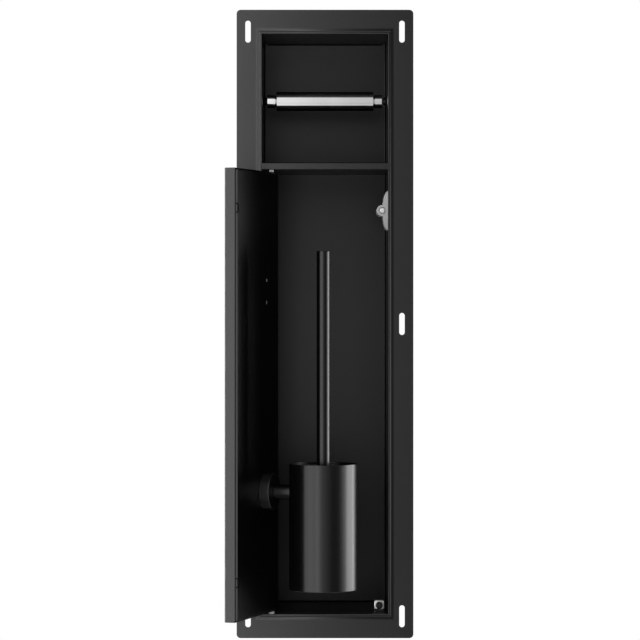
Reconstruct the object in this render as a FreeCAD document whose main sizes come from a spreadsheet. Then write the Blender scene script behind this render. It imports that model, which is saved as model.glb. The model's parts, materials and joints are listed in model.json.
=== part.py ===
import FreeCAD, Part
import Sketcher
import math
import os

# Recessed toilet paper holder with a brush compartment, in millimetres.
# X to the right seen from the room, Y into the wall, Z up.
# Origin: centre of the mounting flange, on the wall plane (the flange's back face).
# The door is modelled where it stands in the photograph, open by door_open_deg.

V = FreeCAD.Vector
doc = FreeCAD.newDocument("recessed_holder")

# ---------------------------------------------------------------- driving dimensions
sheet = doc.addObject("Spreadsheet::Sheet", "Dims")
TABLE = [
    # mounting flange
    ("flange_wide", 225.0), ("flange_high", 800.0), ("flange_thick", 1.5), ("flange_corner", 5.2),
    ("slot_wide", 7.0), ("slot_long", 28.0), ("slot_off_x", 98.0), ("slot_off_z", 372.2),
    # niche box
    ("niche_wide", 160.5), ("niche_high", 738.0), ("niche_back_y", 152.5), ("sheet_thick", 1.5),
    ("rim_thick", 3.0), ("rim_proud", 2.5), ("rim_back_y", 8.0), ("rim_round", 1.1),
    ("shelf_low_z", 196.3), ("shelf_top_z", 205.0), ("shelf_sheet", 1.2),
    # roll spindle
    ("spindle_y", 72.0), ("spindle_z", 288.0), ("barrel_rad", 12.7), ("barrel_half", 62.75),
    ("barrel_wall", 1.2), ("neck_rad", 8.6), ("neck_end_x", 74.9), ("neck_end_right_x", 73.9), ("tip_pin_rad", 2.5), ("tip_pin_end_x", 80.6),
    ("seat_base_rad", 8.4), ("seat_tip_rad", 4.6), ("seat_tip_x", 75.6),
    # push latch
    ("latch_x", 73.1), ("latch_z", 144.7), ("latch_rad", 7.1), ("latch_front_y", 7.8), ("latch_back_y", 72.0),
    ("latch_wing_half", 24.8), ("latch_wing_thick", 6.7), ("latch_pin_rad", 3.1), ("latch_tip_y", 6.9),
    # bottom magnetic catch
    ("catch_x", 69.1), ("catch_z", -358.65), ("catch_wide", 12.2), ("catch_high", 10.5),
    ("magnet_x", 69.2), ("magnet_z", -359.2), ("magnet_rad", 4.5), ("magnet_front_y", 8.1),
    # door
    ("pivot_x", -68.1), ("pivot_y", -0.8), ("door_open_deg", 108.2),
    ("door_hinge_x", -10.1), ("door_free_x", 146.3), ("door_front_y", -10.2), ("door_shell_y", 3.25),
    ("panel_seat_y", 4.2), ("panel_face_y", 6.6), ("panel_hinge_x", -7.3), ("panel_free_x", 144.5),
    ("door_low_z", -365.8), ("door_top_z", 193.0), ("door_bevel", 5.0), ("door_sheet", 1.5),
    ("panel_low_z", -363.4), ("panel_top_z", 190.6), ("panel_hem", 1.2),
    ("pivot_pin_rad", 1.75), ("bush_bore_rad", 1.8), ("bush_flange_rad", 3.75), ("bush_flange_top_rad", 3.1), ("bush_body_rad", 2.75),
    # brush holder on the door
    ("rosette_x", 45.0), ("rosette_z", -210.4), ("rosette_rad", 23.0), ("rosette_thick", 13.6),
    ("post_rad", 9.4), ("cup_y", 84.2), ("cup_rad", 42.65), ("cup_wall", 1.2), ("cup_top_z", -174.2), ("cup_low_z", -331.7),
    ("liner_rad", 38.0), ("liner_wall", 1.5), ("liner_top_z", -177.5),
    ("rod_rad", 8.25), ("rod_top_z", 91.6), ("rod_wall", 1.0), ("head_rad", 33.0), ("head_low_z", -327.9), ("head_top_z", -250.0),
]
VALUE = {}
for i, (name, value) in enumerate(TABLE):
    sheet.set("A%d" % (i + 1), name)
    sheet.set("B%d" % (i + 1), repr(value))
    sheet.setAlias("B%d" % (i + 1), name)
    VALUE[name] = value
doc.recompute()


class Q:
    """A number that also carries the sheet expression it comes from."""

    def __init__(self, v, e):
        self.v = float(v)
        self.e = e

    def __add__(self, o):
        o = q(o)
        return Q(self.v + o.v, "(%s + %s)" % (self.e, o.e))

    def __sub__(self, o):
        o = q(o)
        return Q(self.v - o.v, "(%s - %s)" % (self.e, o.e))

    def __mul__(self, o):
        o = q(o)
        return Q(self.v * o.v, "(%s * %s)" % (self.e, o.e))

    def __truediv__(self, o):
        o = q(o)
        return Q(self.v / o.v, "(%s / %s)" % (self.e, o.e))

    def __radd__(self, o):
        return q(o) + self

    def __rsub__(self, o):
        return q(o) - self

    def __rmul__(self, o):
        return q(o) * self

    def __neg__(self):
        return Q(-self.v, "(0 - %s)" % self.e)


def q(x):
    if isinstance(x, Q):
        return x
    if isinstance(x, str):
        return Q(VALUE[x], "Dims." + x)
    return Q(x, "(0 - %r)" % (-float(x)) if x < 0 else "%r" % float(x))


NODES = {}  # node name -> document object whose shape is exported


def node(obj, name):
    obj.Label = name
    NODES[name] = obj
    return obj


# ---------------------------------------------------------------- sketch and feature helpers
def body(name):
    return doc.addObject("PartDesign::Body", "body_" + name)


def plane(b, role):
    return [f for f in b.Origin.OriginFeatures if f.Role == role][0]


COUNT = [0]


def sketch(b, role, offset=0.0):
    """A sketch on one of the body's origin planes. XY: (x, y). XZ: (x, z), normal -Y. YZ: (y, z), normal +X."""
    COUNT[0] += 1
    s = b.newObject("Sketcher::SketchObject", "sk%d" % COUNT[0])
    s.AttachmentSupport = [(plane(b, role), "")]
    s.MapMode = "FlatFace"
    o = q(offset)
    s.AttachmentOffset = FreeCAD.Placement(V(0, 0, o.v), FreeCAD.Rotation())
    s.setExpression("AttachmentOffset.Base.z", o.e)
    return s


def fix_point(s, geo, pos, x, y):
    x, y = q(x), q(y)
    k = s.addConstraint(Sketcher.Constraint("DistanceX", -1, 1, geo, pos, x.v))
    s.setExpression("Constraints[%d]" % k, x.e)
    k = s.addConstraint(Sketcher.Constraint("DistanceY", -1, 1, geo, pos, y.v))
    s.setExpression("Constraints[%d]" % k, y.e)


def poly(s, pts):
    """A closed outline of straight lines, each corner fixed to the sheet."""
    pts = [(q(x), q(y)) for x, y in pts]
    n = len(pts)
    first = s.GeometryCount
    for i in range(n):
        a, c = pts[i], pts[(i + 1) % n]
        s.addGeometry(Part.LineSegment(V(a[0].v, a[1].v, 0), V(c[0].v, c[1].v, 0)), False)
    for i in range(n):
        s.addConstraint(Sketcher.Constraint("Coincident", first + i, 2, first + (i + 1) % n, 1))
    for i in range(n):
        fix_point(s, first + i, 1, pts[i][0], pts[i][1])


def rect(s, x0, x1, y0, y1):
    poly(s, [(x0, y0), (x1, y0), (x1, y1), (x0, y1)])


def circle(s, x, y, r):
    x, y, r = q(x), q(y), q(r)
    g = s.addGeometry(Part.Circle(V(x.v, y.v, 0), V(0, 0, 1), r.v), False)
    fix_point(s, g, 3, x, y)
    k = s.addConstraint(Sketcher.Constraint("Radius", g, r.v))
    s.setExpression("Constraints[%d]" % k, r.e)


def feature(b, kind, s, length, both=False, back=False):
    COUNT[0] += 1
    f = b.newObject("PartDesign::" + kind, kind.lower() + "%d" % COUNT[0])
    f.Profile = s
    length = q(length)
    f.Length = length.v
    f.setExpression("Length", length.e)
    if both:
        f.Midplane = True
    if back:
        f.Reversed = True
    doc.recompute()
    return f


def pad(b, s, length, both=False, back=False):
    return feature(b, "Pad", s, length, both, back)


def pocket(b, s, length, both=False, back=False):
    before = b.Shape.Volume
    f = feature(b, "Pocket", s, length, both, back)
    if b.Shape.Volume > before - 1e-6:
        raise RuntimeError(b.Name + ": a pocket cut nothing")
    return f


def revolve(b, s, axis):
    """axis: H_Axis or V_Axis of the sketch."""
    COUNT[0] += 1
    f = b.newObject("PartDesign::Revolution", "rev%d" % COUNT[0])
    f.Profile = s
    f.ReferenceAxis = (s, [axis])
    f.Angle = 360.0
    doc.recompute()
    return f


def edges_where(shape, test):
    out = []
    for i, e in enumerate(shape.Edges):
        if test(e):
            out.append("Edge%d" % (i + 1))
    return out


def near(a, b, tol=0.02):
    return abs(a - b) < tol


def fillet(b, radius, test, kind="Fillet"):
    base = b.Tip
    names = edges_where(base.Shape, test)
    if not names:
        raise RuntimeError(b.Name + ": no edge to round")
    f = b.newObject("PartDesign::" + kind, kind.lower() + "%d" % (COUNT[0] + 1))
    COUNT[0] += 1
    f.Base = (base, names)
    radius = q(radius)
    if kind == "Fillet":
        f.Radius = radius.v
        f.setExpression("Radius", radius.e)
    else:
        f.Size = radius.v
        f.setExpression("Size", radius.e)
    doc.recompute()
    return f


def straight(e, axis):
    """True for a straight edge along X, Y or Z."""
    if len(e.Vertexes) != 2:
        return False
    a, c = e.Vertexes[0].Point, e.Vertexes[1].Point
    d = c - a
    if d.Length < 1e-6:
        return False
    k = {"X": abs(d.x), "Y": abs(d.y), "Z": abs(d.z)}[axis]
    return near(k, d.Length, 1e-4) and near(e.Length, d.Length, 1e-4)


def mid(e):
    a, c = e.Vertexes[0].Point, e.Vertexes[-1].Point
    return (a + c) * 0.5


def place(obj, x=0.0, y=0.0, z=0.0, axis=None, angle=None):
    """Placement bound to the sheet."""
    x, y, z = q(x), q(y), q(z)
    rot = FreeCAD.Rotation(V(*axis), q(angle).v) if axis else FreeCAD.Rotation()
    obj.Placement = FreeCAD.Placement(V(x.v, y.v, z.v), rot)
    obj.setExpression("Placement.Base.x", x.e)
    obj.setExpression("Placement.Base.y", y.e)
    obj.setExpression("Placement.Base.z", z.e)
    if axis and isinstance(angle, Q):
        obj.setExpression("Placement.Rotation.Angle", angle.e)
    return obj


def on_door(obj):
    """Places a piece built in the door's own frame: origin on the pivot axis, x along the door, y into the niche when shut."""
    obj.Placement = FreeCAD.Placement(V(VALUE["pivot_x"], VALUE["pivot_y"], 0), FreeCAD.Rotation(V(0, 0, 1), -VALUE["door_open_deg"]))
    obj.setExpression("Placement.Base.x", "Dims.pivot_x")
    obj.setExpression("Placement.Base.y", "Dims.pivot_y")
    obj.setExpression("Placement.Rotation.Yaw", "(0 - Dims.door_open_deg) * 1 deg")
    return obj


def rod_between(name, axis, radius, start, length, x=0.0, y=0.0, z=0.0):
    """A plain round bar as a Part cylinder along X, Y or Z, from start."""
    c = doc.addObject("Part::Cylinder", name)
    radius, length = q(radius), q(length)
    c.Radius = radius.v
    c.setExpression("Radius", radius.e)
    c.Height = length.v
    c.setExpression("Height", length.e)
    rot = {"X": FreeCAD.Rotation(V(0, 1, 0), 90), "Y": FreeCAD.Rotation(V(1, 0, 0), -90), "Z": FreeCAD.Rotation()}[axis]
    pos = {"X": (start, y, z), "Y": (x, start, z), "Z": (x, y, start)}[axis]
    pos = [q(v) for v in pos]
    c.Placement = FreeCAD.Placement(V(pos[0].v, pos[1].v, pos[2].v), rot)
    c.setExpression("Placement.Base.x", pos[0].e)
    c.setExpression("Placement.Base.y", pos[1].e)
    c.setExpression("Placement.Base.z", pos[2].e)
    return c


def turned(name, axis, profile, x=0.0, y=0.0, z=0.0):
    """A turned piece as a body: profile is (distance along the axis, radius), closed on the axis or between two radii."""
    b = body(name)
    if axis == "Z":
        s = sketch(b, "XZ_Plane")
        poly(s, [(r, a) for a, r in profile])
        revolve(b, s, "V_Axis")
    elif axis == "X":
        s = sketch(b, "XZ_Plane")
        poly(s, [(a, r) for a, r in profile])
        revolve(b, s, "H_Axis")
    else:
        s = sketch(b, "XY_Plane")
        poly(s, [(r, a) for a, r in profile])
        revolve(b, s, "V_Axis")
    place(b, x, y, z)
    return b


def group(name, parts):
    g = doc.addObject("Part::Compound", name)
    g.Links = parts
    doc.recompute()
    return g


def spring(name, wire_rad, coil_rad, length, turns):
    """A round-wire helix standing along +Z from the origin, swept in its own frame."""
    f = doc.addObject("Part::Feature", name)
    helix = Part.makeHelix(length / turns, length, coil_rad)
    start = helix.Edges[0].valueAt(helix.Edges[0].FirstParameter)
    direction = helix.Edges[0].tangentAt(helix.Edges[0].FirstParameter)
    section = Part.Wire([Part.makeCircle(wire_rad, start, direction)])
    solid = Part.Wire(helix.Edges).makePipeShell([section], True, True)
    if solid.Volume < 0:
        solid.reverse()
    f.Shape = solid
    return f


# ================================================================ HOUSING (fixed in the wall)
nw = q("niche_wide") / 2
nh = q("niche_high") / 2
rim = q("rim_thick")
st = q("sheet_thick")
rim_y = -(q("flange_thick") + q("rim_proud"))  # front of the rim

# --- front_frame: flat mounting flange round the opening, six upright slots
b = body("front_frame")
s = sketch(b, "XZ_Plane")
fw, fh = q("flange_wide") / 2, q("flange_high") / 2
rect(s, -fw, fw, -fh, fh)
rect(s, -(nw + rim), nw + rim, -(nh + rim), nh + rim)
pad(b, s, "flange_thick")
fillet(b, "flange_corner", lambda e: straight(e, "Y") and abs(abs(mid(e).x) - 112.5) < 0.1 and abs(abs(mid(e).z) - 400) < 0.1)
s = sketch(b, "XZ_Plane")
hw = q("slot_wide") / 2
hl = (q("slot_long") - q("slot_wide")) / 2
for sx in (-1, 1):
    for sz in (-1, 0, 1):
        cx, cz = q("slot_off_x") * sx, q("slot_off_z") * sz
        rect(s, cx - hw, cx + hw, cz - hl, cz + hl)
pocket(b, s, 10, both=True)
s = sketch(b, "XZ_Plane")
for sx in (-1, 1):
    for sz in (-1, 0, 1):
        cx, cz = q("slot_off_x") * sx, q("slot_off_z") * sz
        circle(s, cx, cz + hl, hw)
pocket(b, s, 10, both=True)
s = sketch(b, "XZ_Plane")
for sx in (-1, 1):
    for sz in (-1, 0, 1):
        cx, cz = q("slot_off_x") * sx, q("slot_off_z") * sz
        circle(s, cx, cz - hl, hw)
pocket(b, s, 10, both=True)
node(b, "front_frame")

# --- opening_rim: collar round the opening, proud of the flange, with rolled front edges
b = body("opening_rim")
s = sketch(b, "XZ_Plane", -q("rim_back_y"))
rect(s, -(nw + rim), nw + rim, -(nh + rim), nh + rim)
rect(s, -nw, nw, -nh, nh)
pad(b, s, q("rim_back_y") - rim_y)
fillet(b, "rim_round", lambda e: (straight(e, "X") or straight(e, "Z")) and near(mid(e).y, -4.0, 0.05))
s = sketch(b, "XZ_Plane", "flange_thick")  # long sloped foot that runs out on the flange
rect(s, -(nw + rim + 5), nw + rim + 5, -(nh + rim + 5), nh + rim + 5)
rect(s, -(nw + 1), nw + 1, -(nh + 1), nh + 1)
pad(b, s, 2.3)
f = fillet(b, 2.25, lambda e: (straight(e, "X") or straight(e, "Z")) and near(mid(e).y, -3.8, 0.05) and (near(abs(mid(e).x), 88.25, 0.05) or near(abs(mid(e).z), 377.0, 0.05)), "Chamfer")
for flip in (False, True):
    f.ChamferType = "Two distances"
    f.FlipDirection = flip
    f.Size2 = 4.9
    doc.recompute()
    if f.isValid() and not f.Shape.isNull() and f.Shape.isValid():
        break
s = sketch(b, "XY_Plane", -q("niche_high") / 2 - 6)  # lower pivot pin and the catch bracket's screw
circle(s, "pivot_x", "pivot_y", "pivot_pin_rad")
circle(s, 63.4, 4.6, 1.5)
pocket(b, s, 10, back=True)
node(b, "opening_rim")

# --- housing_wrap: left, back and right walls folded from one sheet
b = body("housing_wrap")
s = sketch(b, "XY_Plane")
by, ry = q("niche_back_y"), q("rim_back_y")
poly(s, [(-nw, ry), (-nw, by), (nw, by), (nw, ry), (nw + st, ry), (nw + st, by + st), (-(nw + st), by + st), (-(nw + st), ry)])
pad(b, s, nh * 2, both=True)
fillet(b, 3.7, lambda e: straight(e, "Z") and near(mid(e).y, 154.0) and near(abs(mid(e).x), 81.75))
fillet(b, 2.2, lambda e: straight(e, "Z") and near(mid(e).y, 152.5) and near(abs(mid(e).x), 80.25))
s = sketch(b, "XZ_Plane", -(by - 1))  # the back stops short of both end sheets, which leaves a shadow gap
rect(s, -(nw - 4), nw - 4, nh - 1.7, nh + 1)
rect(s, -(nw - 4), nw - 4, -nh - 1, -nh + 1.7)
pocket(b, s, 4)
s = sketch(b, "YZ_Plane")  # holes for the two spindle seats, left and right alike
circle(s, "spindle_y", "spindle_z", 5.0)
pocket(b, s, 200, both=True)
s = sketch(b, "YZ_Plane")  # holes for the latch screws, right wall only
circle(s, 40, q("latch_z") + 16, 1.5)
circle(s, 40, q("latch_z") - 16, 1.5)
pocket(b, s, 90, back=True)
node(b, "housing_wrap")

# --- top_cap and bottom_cap: end sheets with a rear lip folded over the wrap
for name, sign in (("top_cap", 1), ("bottom_cap", -1)):
    b = body(name)
    s = sketch(b, "YZ_Plane")
    z0, z1 = nh * sign, (nh + st) * sign
    lip = (nh - 12) * sign
    poly(s, [(ry, z0), (ry, z1), (by + st * 2, z1), (by + st * 2, lip), (by + st, lip), (by + st, z0)])
    pad(b, s, (nw + st) * 2, both=True)
    fillet(b, 1.4, lambda e: straight(e, "X") and near(mid(e).y, 155.5) and near(abs(mid(e).z), 370.5))
    node(b, name)

# --- divider_shelf: sheet folded into a C, top, front and underside; its underside carries the upper pivot pin
b = body("divider_shelf")
s = sketch(b, "YZ_Plane")
t = q("shelf_sheet")
z0, z1 = q("shelf_low_z"), q("shelf_top_z")
poly(s, [(by, z0), (rim_y, z0), (rim_y, z1), (by, z1), (by, z1 - t), (rim_y + t, z1 - t), (rim_y + t, z0 + t), (by, z0 + t)])
pad(b, s, nw * 2, both=True)
fillet(b, 0.9, lambda e: straight(e, "X") and near(mid(e).y, -4.0))
fillet(b, 2.4, lambda e: straight(e, "Z") and near(mid(e).y, 152.5) and near(abs(mid(e).x), 80.25), "Chamfer")
s = sketch(b, "XY_Plane", q("shelf_low_z") - 1)
circle(s, "pivot_x", "pivot_y", "pivot_pin_rad")
pocket(b, s, 3.5, back=True)
node(b, "divider_shelf")

# --- spindle seats: turned bushes through the side walls, trumpet-shaped towards the roll spindle
for name, sign in (("spindle_seat_left", -1), ("spindle_seat_right", 1)):
    tx, tr, br = q("seat_tip_x"), q("seat_tip_rad"), q("seat_base_rad")
    pr = q("tip_pin_rad") + 0.15
    prof = [(tx, pr), (tx, tr), (tx + 0.7, tr + 0.35), (tx + 1.5, tr + 1.2), (tx + 2.1, tr + 2.3), (nw, br), (nw, 5.0), (nw + st, 5.0), (nw + st, 7.5), (nw + st + 1.5, 7.5), (nw + st + 1.5, 0), (nw + 1.2, 0), (nw + 1.2, pr)]
    b = turned(name, "X", [(a * sign, r) for a, r in prof], 0, "spindle_y", "spindle_z")
    node(b, name)

# --- latch_housing: upright boat-shaped foot on the right wall with the latch barrel through it
lx, lz, ly = q("latch_x"), q("latch_z"), q("latch_front_y")
b = body("latch_housing")
s = sketch(b, "XZ_Plane", -ly)
a_half, w_half = q("latch_wing_half"), q("latch_wing_thick")
top = V(nw.v, lz.v + a_half.v, 0)
low = V(nw.v, lz.v - a_half.v, 0)
ell = Part.Ellipse(top, V(nw.v - w_half.v, lz.v, 0), V(nw.v, lz.v, 0))
g = s.addGeometry(Part.ArcOfEllipse(ell, 0.0, math.pi), False)
line = s.addGeometry(Part.LineSegment(low, top), False)
s.addConstraint(Sketcher.Constraint("Coincident", g, 2, line, 1))
s.addConstraint(Sketcher.Constraint("Coincident", line, 2, g, 1))
s.addConstraint(Sketcher.Constraint("Block", g))
pad(b, s, q("latch_back_y") - ly, back=True)
s = sketch(b, "XZ_Plane", -ly)
circle(s, lx, lz, "latch_rad")
pad(b, s, q("latch_back_y") - ly, back=True)
s = sketch(b, "XZ_Plane", -ly)  # front mouth
circle(s, lx, lz, 4.5)
pocket(b, s, 1.6)
s = sketch(b, "XZ_Plane", -(ly + 1.6))  # guide ring
circle(s, lx, lz, q("latch_pin_rad") + 0.1)
pocket(b, s, 6.0)
s = sketch(b, "XZ_Plane", -(ly + 7))  # spring bore, shut at the back
circle(s, lx, lz, 4.5)
pocket(b, s, 55.0)
s = sketch(b, "YZ_Plane")
circle(s, 40, lz + 16, 1.5)
circle(s, 40, lz - 16, 1.5)
pocket(b, s, 90, back=True)
s = sketch(b, "YZ_Plane", nw - 4.0)
circle(s, 40, lz + 16, 3.15)
circle(s, 40, lz - 16, 3.15)
pocket(b, s, 6)
fillet(b, 1.5, lambda e: len(e.Vertexes) == 1 and near(e.Length, 2 * math.pi * 1.5, 0.01) and near(e.Vertexes[0].Point.x, 76.25), "Chamfer")
node(b, "latch_housing")

# --- latch_screws: two countersunk screws through the foot into the right wall
node(group("latch_screws", [turned("latch_screw_%d" % k, "X", [(nw - 4.6, 0), (nw - 4.6, 3.0), (nw - 4.0, 3.0), (nw - 2.5, 1.5), (nw + 4.4, 1.5), (nw + 5.2, 0.6), (nw + 5.2, 0)], 0, 40, lz + dz) for k, dz in enumerate((16, -16))]), "latch_screws")

# --- latch_spring, latch_plunger and latch_tip: the pin is pressed home at rest, its tip just behind the shut door
sp = spring("latch_spring", 0.4, 3.3, 24.8, 8)
sp.Placement = FreeCAD.Placement(V(lx.v, 43.6, lz.v), FreeCAD.Rotation(V(1, 0, 0), -90))
node(sp, "latch_spring")
ty = q("latch_tip_y")
b = turned("latch_plunger", "Y", [(ty + 3, 0), (ty + 3, "latch_pin_rad"), (40, "latch_pin_rad"), (40, 4.25), (43, 4.25), (43, 2.2), (49, 2.2), (49, 0)], lx, 0, lz)
node(b, "latch_plunger")
b = turned("latch_tip", "Y", [(ty, 0), (ty, q("latch_pin_rad") - 0.4), (ty + 0.4, "latch_pin_rad"), (ty + 3, "latch_pin_rad"), (ty + 3, 0)], lx, 0, lz)
node(b, "latch_tip")

# --- bottom catch: bracket, block, ring magnet and its screws
cx, cz = q("catch_x"), q("catch_z")
mx, mz, my = q("magnet_x"), q("magnet_z"), q("magnet_front_y")
b = body("catch_bracket")
s = sketch(b, "YZ_Plane", 58.5)
poly(s, [(0.6, -nh), (0.6, -nh + 1.2), (17.5, -nh + 1.2), (17.5, cz + 6.3), (18.7, cz + 6.3), (18.7, -nh)])
pad(b, s, 19.0)
s = sketch(b, "XZ_Plane")
rect(s, 58.0, 62.7, -nh + 1.2, cz + 9)
rect(s, 75.0, 78.0, -nh + 1.2, cz + 9)
pocket(b, s, 25)
s = sketch(b, "XZ_Plane")
rect(s, 58.0, 60.2, -nh - 1, -nh + 2)
rect(s, 76.4, 78.0, -nh - 1, -nh + 2)
pocket(b, s, 25)
s = sketch(b, "XY_Plane", -nh - 1)
circle(s, 63.4, 4.6, 1.5)
pocket(b, s, 4, back=True)
s = sketch(b, "XZ_Plane")
circle(s, mx, mz, 1.5)
pocket(b, s, 25, back=False)
node(b, "catch_bracket")
b = body("catch_block")
s = sketch(b, "XZ_Plane", -(my + 3))
hw2, hh2 = q("catch_wide") / 2, q("catch_high") / 2
rect(s, cx - hw2, cx + hw2, cz - hh2, cz + hh2)
pad(b, s, 17.5 - (my + 3), back=True)
fillet(b, 1.8, lambda e: straight(e, "Y"))
fillet(b, 0.6, lambda e: near(e.BoundBox.YMax, 11.1))
s = sketch(b, "XZ_Plane", -my)
circle(s, mx, mz, 1.5)
pocket(b, s, 20)
node(b, "catch_block")
b = body("catch_magnet")
s = sketch(b, "XZ_Plane", -my)
circle(s, mx, mz, "magnet_rad")
circle(s, mx, mz, 1.5)
pad(b, s, 3.0, back=True)
fillet(b, 1.3, lambda e: near(e.Length, 2 * math.pi * 1.5, 0.01) and near(e.Vertexes[0].Point.y, 8.1), "Chamfer")
fillet(b, 0.35, lambda e: near(e.Length, 2 * math.pi * 4.5, 0.01))
node(b, "catch_magnet")
b = turned("catch_screw", "Y", [(my + 0.1, 0), (my + 0.1, 2.7), (my + 1.3, 1.5), (21.5, 1.5), (22.0, 1.0), (22.0, 0)], mx, 0, mz)
node(b, "catch_screw")
b = turned("bracket_screw", "Z", [(-nh - 6, 0), (-nh - 6, 1.5), (-nh + 1.2, 1.5), (-nh + 1.2, 2.7), (-nh + 1.9, 2.5), (-nh + 2.4, 1.4), (-nh + 2.4, 0)], 63.4, 4.6, 0)
node(b, "bracket_screw")

# --- pivot pins, pressed into the divider and the rim
node(rod_between("pivot_pin_top", "Z", "pivot_pin_rad", 186.0, 17.4, "pivot_x", "pivot_y"), "pivot_pin_top")
node(rod_between("pivot_pin_bottom", "Z", "pivot_pin_rad", -(nh + rim), 13.0, "pivot_x", "pivot_y"), "pivot_pin_bottom")

# ================================================================ ROLL SPINDLE (turns, its right tip slides in)
sy, sz = q("spindle_y"), q("spindle_z")
bh, br, nr, ne = q("barrel_half"), q("barrel_rad"), q("neck_rad"), q("neck_end_x")
ir = br - q("barrel_wall")
b = turned("spindle_barrel", "X", [(-bh, ir), (-bh, br - 0.5), (-bh + 0.5, br), (bh - 0.5, br), (bh, br - 0.5), (bh, ir)], 0, sy, sz)
node(b, "spindle_barrel")
pe, pn = q("tip_pin_end_x"), q("tip_pin_rad")
b = turned("spindle_end_left", "X", [(-pe, 0), (-pe, pn - 0.6), (-(pe - 0.6), pn), (-ne, pn), (-ne, nr - 0.4), (-(ne - 0.4), nr), (-(bh + 2.0), nr), (-(bh + 0.5), nr - 1.5), (-bh, nr - 1.5), (-bh, ir), (-50, ir), (-50, 5), (-44, 5), (-44, 0)], 0, sy, sz)
node(b, "spindle_end_left")
b = turned("spindle_guide_ring", "X", [(57, nr + 0.1), (57, ir), (bh, ir), (bh, nr + 0.1)], 0, sy, sz)
node(b, "spindle_guide_ring")
ner = q("neck_end_right_x")
b = turned("spindle_end_right", "X", [(45, 0), (45, 5), (52, 5), (52, ir - 0.25), (55.5, ir - 0.25), (55.5, nr), (bh + 0.1, nr), (bh + 0.1, nr - 1.5), (bh + 0.5, nr - 1.5), (bh + 2.0, nr), (ner - 0.4, nr), (ner, nr - 0.4), (ner, pn), (pe - 0.6, pn), (pe, pn - 0.6), (pe, 0)], 0, sy, sz)
node(b, "spindle_end_right")
sp = spring("spindle_spring", 0.7, 7.6, 100.0, 17)
sp.Placement = FreeCAD.Placement(V(-48.9, sy.v, sz.v), FreeCAD.Rotation(V(0, 1, 0), 90))
node(sp, "spindle_spring")

# ================================================================ DOOR (in its own frame, then opened)
hx, fx, fy, sy2 = q("door_hinge_x"), q("door_free_x"), q("door_front_y"), q("door_shell_y")
dl, dt, ds, bv = q("door_low_z"), q("door_top_z"), q("door_sheet"), q("door_bevel")
# --- door_shell: front sheet folded back on four sides, bevelled on the hinge side so that it swings clear of the wall
b = body("door_shell")
s = sketch(b, "XY_Plane", dl)
poly(s, [(hx, sy2), (hx, fy + bv), (hx + bv, fy), (fx, fy), (fx, sy2)])
pad(b, s, dt - dl)
fillet(b, 1.2, lambda e: straight(e, "Z") and e.BoundBox.YMax < 0)
s = sketch(b, "XY_Plane", dl + ds)
k = 1.5 * (math.sqrt(2) - 1)
poly(s, [(hx + ds, sy2 + 3), (hx + ds, fy + bv + k), (hx + bv + k, fy + ds), (fx - ds, fy + ds), (fx - ds, sy2 + 3)])
pocket(b, s, dt - dl - ds * 2, back=True)
fillet(b, 0.7, lambda e: straight(e, "X") and near(mid(e).y, -10.2))
s = sketch(b, "XY_Plane")
circle(s, 0, 0, "bush_body_rad")
pocket(b, s, 900, both=True)
on_door(b)
node(b, "door_shell")

# --- door_inner_panel: hemmed cover sheet with side returns that plug into the shell, two edge tabs and two spare fixing holes
px, pf, ps, pt = q("panel_hinge_x"), q("panel_free_x"), q("panel_seat_y"), q("panel_face_y")
pl, ph, hem = q("panel_low_z"), q("panel_top_z"), q("panel_hem")
b = body("door_inner_panel")
s = sketch(b, "XZ_Plane", -pt)
rect(s, px, pf, pl, ph)
pad(b, s, pt - ps)
if b.Shape.BoundBox.YMax > 6.61:
    raise RuntimeError("the panel was padded the wrong way")
fillet(b, 0.7, lambda e: (straight(e, "X") or straight(e, "Z")) and near(mid(e).y, 6.6))
s = sketch(b, "XZ_Plane", -ps)
rect(s, px + 9, pf - 9, pl + 9, ph - 9)
pocket(b, s, hem)
s = sketch(b, "XZ_Plane", -ps)
rect(s, px, px + hem, pl + 18, ph - 18)
rect(s, pf - hem, pf, pl, ph)
rect(s, px + 22, pf - 4, ph - hem, ph)
rect(s, px + 22, pf - 4, pl, pl + hem)
pad(b, s, 5.0)
s = sketch(b, "XZ_Plane", -pt)
for tz in (143.5, -316.9):
    rect(s, pf - 2.9, pf + 1, tz + 4.6, tz + 6.0)
    rect(s, pf - 2.9, pf + 1, tz - 6.0, tz - 4.6)
pocket(b, s, 2.4, back=True)
s = sketch(b, "XZ_Plane", -pt)
for tz in (143.5, -316.9):
    rect(s, pf - 2.2, pf - 0.7, tz - 4.3, tz + 4.3)
pad(b, s, 0.8, back=True)
s = sketch(b, "XZ_Plane")
rx, rz = q("rosette_x"), q("rosette_z")
circle(s, 38.0, 55.3, 2.1)
circle(s, 38.0, 27.3, 2.1)
circle(s, rx, rz + 14, 2.0)
circle(s, rx, rz - 14, 2.0)
pocket(b, s, 40, both=True)
on_door(b)
node(b, "door_inner_panel")

# --- pivot blocks inside the door's hinge corners, and the white flanged bushes in them
for name, zz, sgn in (("pivot_block_top", dt - ds, -1), ("pivot_block_bottom", dl + ds, 1)):
    b = body(name)
    s = sketch(b, "XY_Plane", zz)
    rect(s, -4.4, 9.0, fy + ds, 4.0)
    circle(s, 0, 0, "bush_body_rad")
    pad(b, s, 12, back=(sgn < 0))
    on_door(b)
    node(b, name)
bo, bf, bt, bb = q("bush_bore_rad"), q("bush_flange_rad"), q("bush_flange_top_rad"), q("bush_body_rad")
zt = q("shelf_low_z") - 0.1
zb = -nh + 0.05
for name, prof in (
    ("pivot_bush_top", [(zt, bo), (zt, bt - 0.4), (zt - 0.4, bt), (dt, bt), (dt, bb), (dt - 9, bb), (dt - 9, bo)]),
    ("pivot_bush_bottom", [(zb, bo), (zb, bf - 0.4), (zb + 0.4, bf), (dl, bf), (dl, bb), (dl + 9, bb), (dl + 9, bo)]),
):
    b = turned(name, "Z", prof)
    on_door(b)
    node(b, name)

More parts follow.
